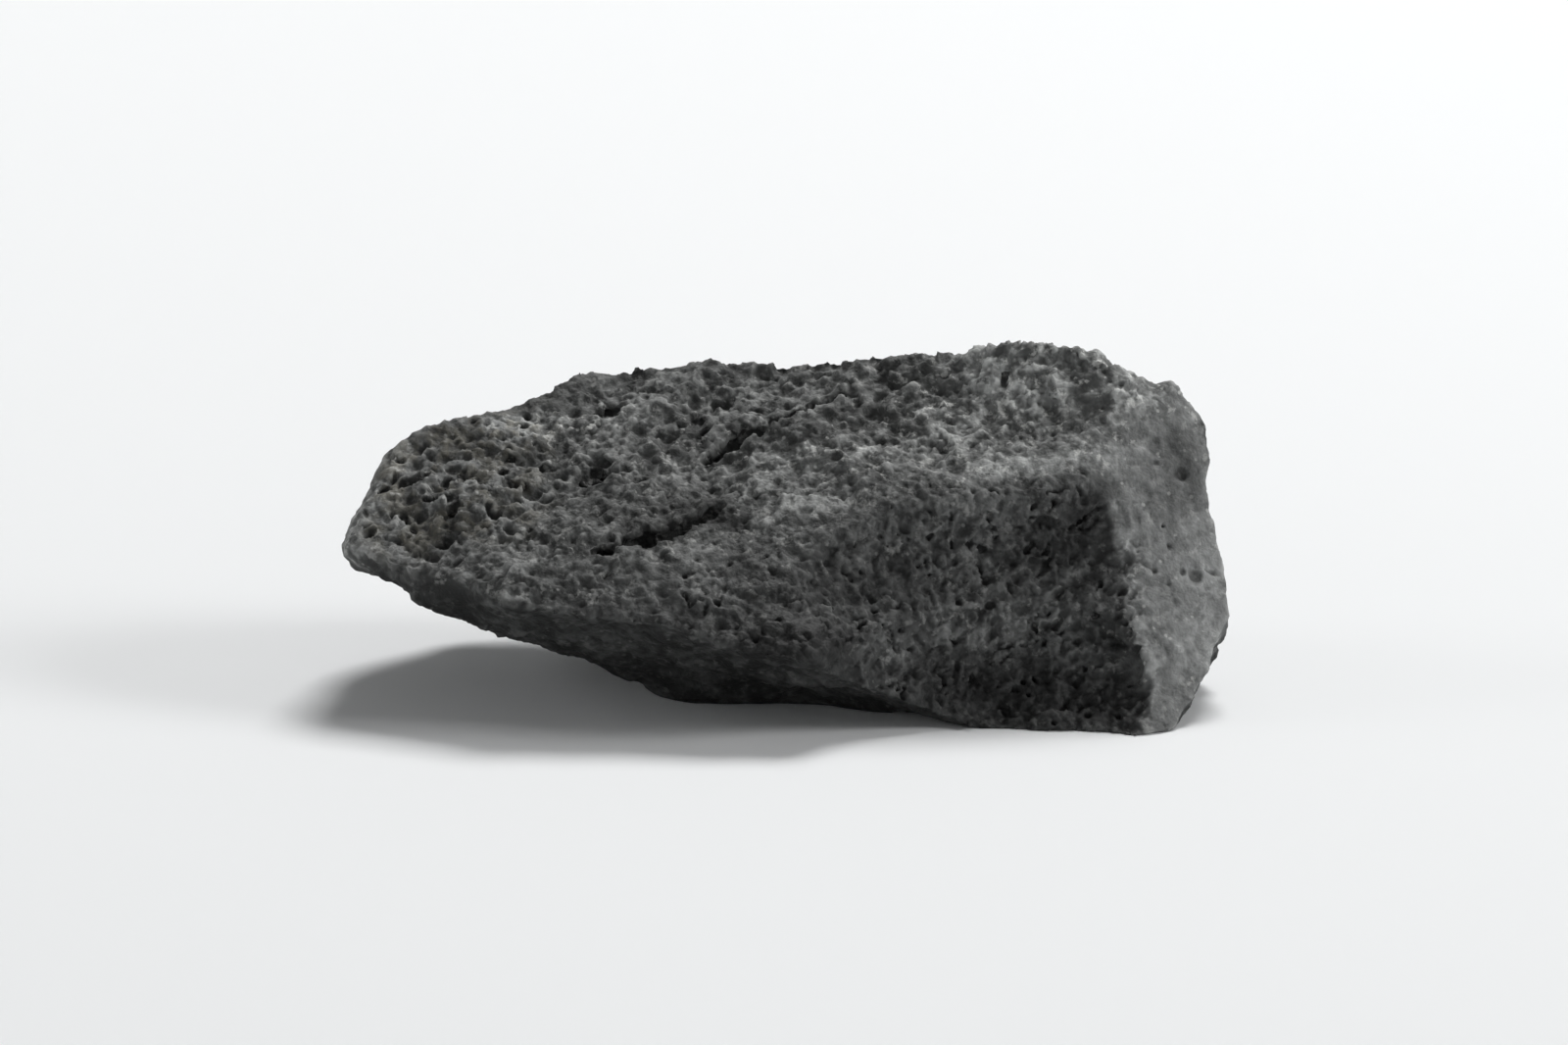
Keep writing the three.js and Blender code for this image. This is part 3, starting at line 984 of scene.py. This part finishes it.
class NodeBoard:
    """Adds and links the nodes of one material, whose patterns lie in Object coordinates."""

    def __init__(self, name: str) -> None:
        """Start a material.

        Args:
            name: The material's name.
        """
        self.material = bpy.data.materials.new(name)
        self.material.use_nodes = True
        self.tree = self.material.node_tree
        self.shader = self.tree.nodes["Principled BSDF"]
        self.place = self.add("ShaderNodeTexCoord").outputs["Object"]

    def add(
        self, kind: str, inputs: dict[str | int, Value] | None = None, **settings: object
    ) -> bpy.types.Node:
        """Add a node, set its properties and feed its inputs.

        Args:
            kind: The node's type.
            inputs: What each input takes, by the input's name or index.
            settings: The node's own properties.

        Returns:
            The node.
        """
        node = self.tree.nodes.new(kind)
        for name, value in settings.items():
            setattr(node, name, value)
        for name, value in (inputs or {}).items():
            self.feed(node.inputs[name], value)
        return node

    def feed(self, socket: bpy.types.NodeSocket, value: Value) -> None:
        """Link a socket to another, or give it a constant.

        Args:
            socket: The input to feed.
            value: What it takes.
        """
        if isinstance(value, bpy.types.NodeSocket):
            self.tree.links.new(value, socket)
        elif isinstance(value, (int, float)):
            socket.default_value = value
        else:
            socket.default_value = (*value, 1.0)[: len(socket.default_value)]

    def attribute(self, name: str) -> bpy.types.NodeSocket:
        """Read one of the piece's own attributes."""
        return self.add("ShaderNodeAttribute", attribute_name=name).outputs["Fac"]

    def noise(
        self, size: float, detail: float = 2.0, distortion: float = 0.0, roughness: float = 0.5
    ) -> bpy.types.NodeSocket:
        """Make smooth noise.

        Args:
            size: How far apart its lumps lie, in millimetres.
            detail: How many finer octaves it has.
            distortion: How much it is warped.
            roughness: How strong the finer octaves are.

        Returns:
            The noise, about 0.5 at the middle.
        """
        inputs = {
            "Vector": self.place,
            "Scale": BENCH_SCALE / size,
            "Detail": detail,
            "Distortion": distortion,
            "Roughness": roughness,
        }
        return self.add("ShaderNodeTexNoise", inputs).outputs["Fac"]

    def cells(self, size: float) -> bpy.types.Node:
        """Make cells of a size in millimetres, with the outputs Distance and Color."""
        return self.add("ShaderNodeTexVoronoi", {"Vector": self.place, "Scale": BENCH_SCALE / size})

    def step(self, value: Value, low: float, high: float) -> bpy.types.NodeSocket:
        """Rise smoothly from 0 where a value is low to 1 where it is high."""
        inputs = {"Value": value, "From Min": low, "From Max": high}
        return self.add("ShaderNodeMapRange", inputs, interpolation_type="SMOOTHSTEP").outputs["Result"]

    def span(self, value: Value, low: float, high: float) -> bpy.types.NodeSocket:
        """Turn a value between 0 and 1 into one between low and high."""
        inputs = {"Value": value, "To Min": low, "To Max": high}
        return self.add("ShaderNodeMapRange", inputs).outputs["Result"]

    def facing_up(self) -> bpy.types.NodeSocket:
        """Say how squarely the surface faces up.

        Returns:
            The share, from 0 to 1.
        """
        normal = self.add("ShaderNodeNewGeometry").outputs["Normal"]
        upward = self.add("ShaderNodeSeparateXYZ", {"Vector": normal}).outputs["Z"]
        return self.step(upward, 0.1, 0.9)

    def math(self, operation: str, first: Value, second: Value) -> bpy.types.NodeSocket:
        """Combine two numbers by a named operation."""
        return self.add("ShaderNodeMath", {0: first, 1: second}, operation=operation).outputs["Value"]

    def mix(self, share: Value, first: Value, second: Value) -> bpy.types.NodeSocket:
        """Mix two colours, where a share of 1 is all the second."""
        return self.add("ShaderNodeMix", {0: share, 6: first, 7: second}, data_type="RGBA").outputs[2]

    def cover(self, under: Value, over: Value, where: Value, strength: Value) -> bpy.types.NodeSocket:
        """Lay a colour over another, as far as a pattern and a strength let it show."""
        return self.mix(self.math("MULTIPLY", where, strength), under, over)

    def scaled(self, colour: Value, factor: Value) -> bpy.types.NodeSocket:
        """Multiply a colour by a number."""
        inputs = {"Vector": colour, "Scale": factor}
        return self.add("ShaderNodeVectorMath", inputs, operation="SCALE").outputs["Vector"]

    def bump(
        self, height: Value, rise: float, strength: Value = 1.0, under: Value | None = None
    ) -> bpy.types.NodeSocket:
        """Make a bumped normal.

        Args:
            height: The pattern, between 0 and 1.
            rise: How high it stands, in millimetres.
            strength: How much of the bump shows.
            under: The normal that it goes on, if any.

        Returns:
            The normal.
        """
        inputs = {"Strength": strength, "Height": height, "Distance": rise / BENCH_SCALE}
        if under is not None:
            inputs["Normal"] = under
        return self.add("ShaderNodeBump", inputs).outputs["Normal"]


@dataclass(frozen=True)
class ShungiteFinish:
    """Matte charcoal-black rock with a gritty rind, satin breaks and pale mineral specks.

    Attributes:
        dark: The darkest rock.
        light: The lightest rock.
        umber: The brown stain in old pits.
        slate: The cool grey of clean breaks.
        dust: Rock dust that has settled on the chip.
        speck: Pale mineral grains.
        worn: Rubbed arrises, paler partly as wear and partly as a painted highlight.
        rind_roughness: The rind's roughness.
        break_roughness: The clean breaks' roughness.
        lustre: The specular level, low because the rock is finely porous.
        clean_share: How much of a clean break's colour is its own and not the rind's.
        stain_strength: How brown the stained pits are, from 0 to 1 as all that follow.
        hollow_shade_strength: How dark the painted shade in the small hollows is.
        sunken_shade_strength: How dark the painted shade in the wide hollows is.
        rubbed_and_highlit_strength: How pale the arrises are, as rubbed wear and painted highlight.
        dust_strength: How much the dust covers.
        fleck_strength: How pale the flecks are.
        pore_strength: How dark the pores are.
        crystal_strength: How pale the smallest grains are.
        clean_specks: How much of the flecks and pores shows on a clean break.
    """

    dark: Colour = (0.034, 0.035, 0.034)
    light: Colour = (0.172, 0.176, 0.172)
    umber: Colour = (0.088, 0.082, 0.064)
    slate: Colour = (0.130, 0.133, 0.132)
    dust: Colour = (0.26, 0.264, 0.258)
    speck: Colour = (0.33, 0.332, 0.32)
    worn: Colour = (0.24, 0.243, 0.236)
    rind_roughness: float = 0.74
    break_roughness: float = 0.56
    lustre: float = 0.28
    clean_share: float = 0.8
    stain_strength: float = 0.7
    hollow_shade_strength: float = 0.5
    sunken_shade_strength: float = 0.8
    rubbed_and_highlit_strength: float = 0.5
    dust_strength: float = 0.3
    fleck_strength: float = 0.5
    pore_strength: float = 0.85
    crystal_strength: float = 0.4
    clean_specks: float = 0.35

    def rock(self, board: NodeBoard) -> bpy.types.NodeSocket:
        """Build the bare rock's colour, mottled on the rind and even on clean breaks.

        Args:
            board: The material's nodes.

        Returns:
            The colour.
        """
        large = board.noise(1.9, detail=3.0)
        small = board.noise(0.65, detail=3.0, distortion=0.4, roughness=0.6)
        mottle = board.math("ADD", large, small)
        rind = board.mix(board.step(mottle, 0.86, 1.16), self.dark, self.light)
        cloud = board.step(board.noise(0.8, detail=5.0, distortion=0.3, roughness=0.65), 0.36, 0.64)
        clean = board.mix(board.span(cloud, 0.5, 1.0), self.dark, self.slate)
        return board.cover(rind, clean, board.attribute("fresh"), self.clean_share)

    def weathered(self, board: NodeBoard, rock: bpy.types.NodeSocket) -> bpy.types.NodeSocket:
        """Stain the old pits, paint shade into the hollows and pale the arrises, as rubbed wear and
        painted highlight.

        Args:
            board: The material's nodes.
            rock: The bare rock's colour.

        Returns:
            The weathered colour, with painted shade and a painted highlight.
        """
        patchy = board.step(board.noise(0.9), 0.42, 0.6)
        stain = board.math("MULTIPLY", board.attribute("pitted"), patchy)
        rock = board.cover(rock, self.umber, stain, self.stain_strength)
        # Painted shade in the small and the wide hollows.
        rock = board.cover(rock, self.dark, board.attribute("hollow"), self.hollow_shade_strength)
        rock = board.cover(rock, self.dark, board.attribute("sunken"), self.sunken_shade_strength)
        # Paler arrises, partly rubbed wear and partly a painted highlight.
        broken = board.step(board.noise(0.5, detail=3.0), 0.35, 0.65)
        rubbed_and_highlit = board.math("MULTIPLY", board.attribute("ridge"), broken)
        return board.cover(rock, self.worn, rubbed_and_highlit, self.rubbed_and_highlit_strength)

    def dusted(self, board: NodeBoard, rock: bpy.types.NodeSocket) -> bpy.types.NodeSocket:
        """Settle dust on the chip, scatter pale grains and dark pores in it, and multiply it by the tone,
        which paints light and shade in.

        Args:
            board: The material's nodes.
            rock: The weathered colour.

        Returns:
            The finished colour.
        """
        thin = board.step(board.noise(0.4, detail=5.0, roughness=0.7), 0.5, 0.72)
        settled = board.math("MULTIPLY", board.facing_up(), thin)
        rock = board.cover(rock, self.dust, settled, self.dust_strength)
        flecks = board.noise(0.42, detail=4.0, distortion=0.1, roughness=0.62)
        flecks = board.step(flecks, 0.56, 0.68)
        shown = board.span(board.step(board.attribute("fresh"), 0.55, 1.0), 1.0, self.clean_specks)
        strength = board.math("MULTIPLY", shown, self.fleck_strength)
        rock = board.cover(rock, self.speck, flecks, strength)
        pores = board.noise(0.5, detail=4.0, distortion=0.2, roughness=0.6)
        pores = board.step(pores, 0.46, 0.34)
        strength = board.math("MULTIPLY", shown, self.pore_strength)
        rock = board.cover(rock, self.dark, pores, strength)
        grains = board.cells(0.17)
        chosen = board.step(grains.outputs["Color"], 0.84, 0.9)
        small = board.step(grains.outputs["Distance"], 0.5, 0.25)
        crystals = board.math("MULTIPLY", chosen, small)
        rock = board.cover(rock, self.speck, crystals, self.crystal_strength)
        # Light and shade are painted in here, along with the weathering, by multiplying the colour by the
        # tone.
        return board.scaled(rock, board.attribute("tone"))

    def material(self) -> bpy.types.Material:
        """Make the material.

        Returns:
            The finished material.
        """
        board = NodeBoard("shungite")
        shader = board.shader
        fresh = board.attribute("fresh")
        colour = self.dusted(board, self.weathered(board, self.rock(board)))
        board.feed(shader.inputs["Base Color"], colour)
        base = board.span(fresh, self.rind_roughness, self.break_roughness)
        uneven = board.span(board.noise(0.4, detail=3.0), -0.14, 0.14)
        board.feed(shader.inputs["Roughness"], board.math("ADD", base, uneven))
        board.feed(shader.inputs["Specular IOR Level"], self.lustre)
        strength = board.span(fresh, 1.0, 0.8)
        sand = board.noise(0.15, detail=3.0, roughness=0.65)
        grit = board.bump(sand, rise=0.045, strength=strength)
        grains = board.cells(0.12).outputs["Distance"]
        normal = board.bump(grains, rise=0.018, strength=strength, under=grit)
        board.feed(shader.inputs["Normal"], normal)
        return board.material


@dataclass
class Studio:
    """The pale sweep, the lights and the camera.

    Attributes:
        floor_radius: Where the floor starts to curve up, in metres.
        wall_radius: The bowl's radius, in metres.
        wall_height: The bowl's height, in metres.
        wall_steps: How many rings the curve has.
        wall_sides: How many sides each ring has.
        white: The sweep's colour.
        lens: The camera's focal length, in millimetres.
        elevation: The camera's height above the horizon, in degrees.
        fill: The share of the picture's width that the chip takes.
        air: The strength of the light from all round.
        boxes: Each softbox's name, its place and side in metres, and its power in watts.
    """

    floor_radius: float = 0.4
    wall_radius: float = 0.8
    wall_height: float = 0.4
    wall_steps: int = 12
    wall_sides: int = 128
    white: Colour = (0.86, 0.87, 0.875)
    lens: float = 300.0
    elevation: float = 15.0
    fill: float = 0.57
    air: float = 0.12
    boxes: tuple[tuple[str, Triple, float, float], ...] = (
        ("top_softbox", (0.12, 0.3, 0.5), 0.22, 2.7),
        ("right_softbox", (0.53, -0.09, 0.26), 0.2, 1.5),
        ("left_softbox", (-0.5, 0.02, 0.2), 0.2, 0.3),
    )

    def sweep(self) -> None:
        """Build the floor and its curved wall, ring by ring."""
        bpy.ops.object.select_all(action="DESELECT")
        bpy.ops.mesh.primitive_circle_add(
            vertices=self.wall_sides, radius=self.floor_radius, fill_type="NGON"
        )
        floor = bpy.context.active_object
        floor.name = "studio_sweep"
        bpy.ops.object.mode_set(mode="EDIT")
        bpy.ops.mesh.select_mode(type="EDGE")
        bpy.ops.mesh.select_all(action="SELECT")
        radius, height = self.floor_radius, 0.0
        for step in range(1, self.wall_steps + 1):
            angle = step / self.wall_steps * math.pi / 2
            wider = self.floor_radius + (self.wall_radius - self.floor_radius) * math.sin(angle)
            higher = self.wall_height * (1 - math.cos(angle))
            bpy.ops.mesh.extrude_edges_move(TRANSFORM_OT_translate={"value": (0, 0, higher - height)})
            grow = wider / radius
            bpy.ops.transform.resize(value=(grow, grow, 1), center_override=(0, 0, 0))
            radius, height = wider, higher
        bpy.ops.mesh.select_all(action="SELECT")
        bpy.ops.mesh.normals_make_consistent(inside=True)
        bpy.ops.object.mode_set(mode="OBJECT")
        bpy.ops.object.shade_smooth()
        board = NodeBoard("studio_white")
        for name, value in {"Base Color": self.white, "Roughness": 0.9, "Specular IOR Level": 0.1}.items():
            board.feed(board.shader.inputs[name], value)
        floor.data.materials.append(board.material)

    def softbox(self, name: str, place: Triple, size: float, power: float) -> None:
        """Hang a square softbox that faces the chip.

        Args:
            name: What the light is called.
            place: Where it hangs, in metres.
            size: Its side, in metres.
            power: Its power, in watts.
        """
        data = bpy.data.lights.new(name, "AREA")
        data.size = size
        data.energy = power
        light = bpy.data.objects.new(name, data)
        light.location = place
        light.rotation_mode = "QUATERNION"
        light.rotation_quaternion = (-Vector(place)).to_track_quat("-Z", "Y")
        light.visible_camera = False
        bpy.context.scene.collection.objects.link(light)

    def light(self) -> None:
        """Light the chip from above, from the right and a little from the left."""
        world = bpy.data.worlds.new("studio_air")
        world.use_nodes = True
        background = world.node_tree.nodes["Background"]
        background.inputs["Color"].default_value = (1, 1, 1, 1)
        background.inputs["Strength"].default_value = self.air
        bpy.context.scene.world = world
        for name, place, size, power in self.boxes:
            self.softbox(name, place, size, power)

    def camera(self) -> None:
        """Set the camera in front of the chip and a little above it."""
        low, high = CAD_BOX
        middle = (low + high) / 2
        data = bpy.data.cameras.new("camera")
        data.lens = self.lens
        distance = (high.x - low.x) / self.fill * self.lens / data.sensor_width
        angle = math.radians(self.elevation)
        back = Vector((0, -math.cos(angle), math.sin(angle)))
        camera = bpy.data.objects.new("camera", data)
        camera.location = middle + back * distance
        camera.rotation_mode = "QUATERNION"
        camera.rotation_quaternion = (-back).to_track_quat("-Z", "Y")
        data.clip_start = 0.01
        bpy.context.scene.collection.objects.link(camera)
        bpy.context.scene.camera = camera

    def build(self) -> None:
        """Set up the whole studio."""
        self.sweep()
        self.light()
        self.camera()
        bpy.context.scene.view_settings.view_transform = "Standard"


def main() -> None:
    """Build the chip and the studio, in order."""
    logging.basicConfig(level=logging.INFO, format="%(name)s: %(message)s")
    stone = StoneChip().build()
    stone.data.materials.append(ShungiteFinish().material())
    LOG.info("%s: %d vertices in the finished mesh", stone.name, len(stone.data.vertices))
    Studio().build()


if __name__ == "__main__":
    main()
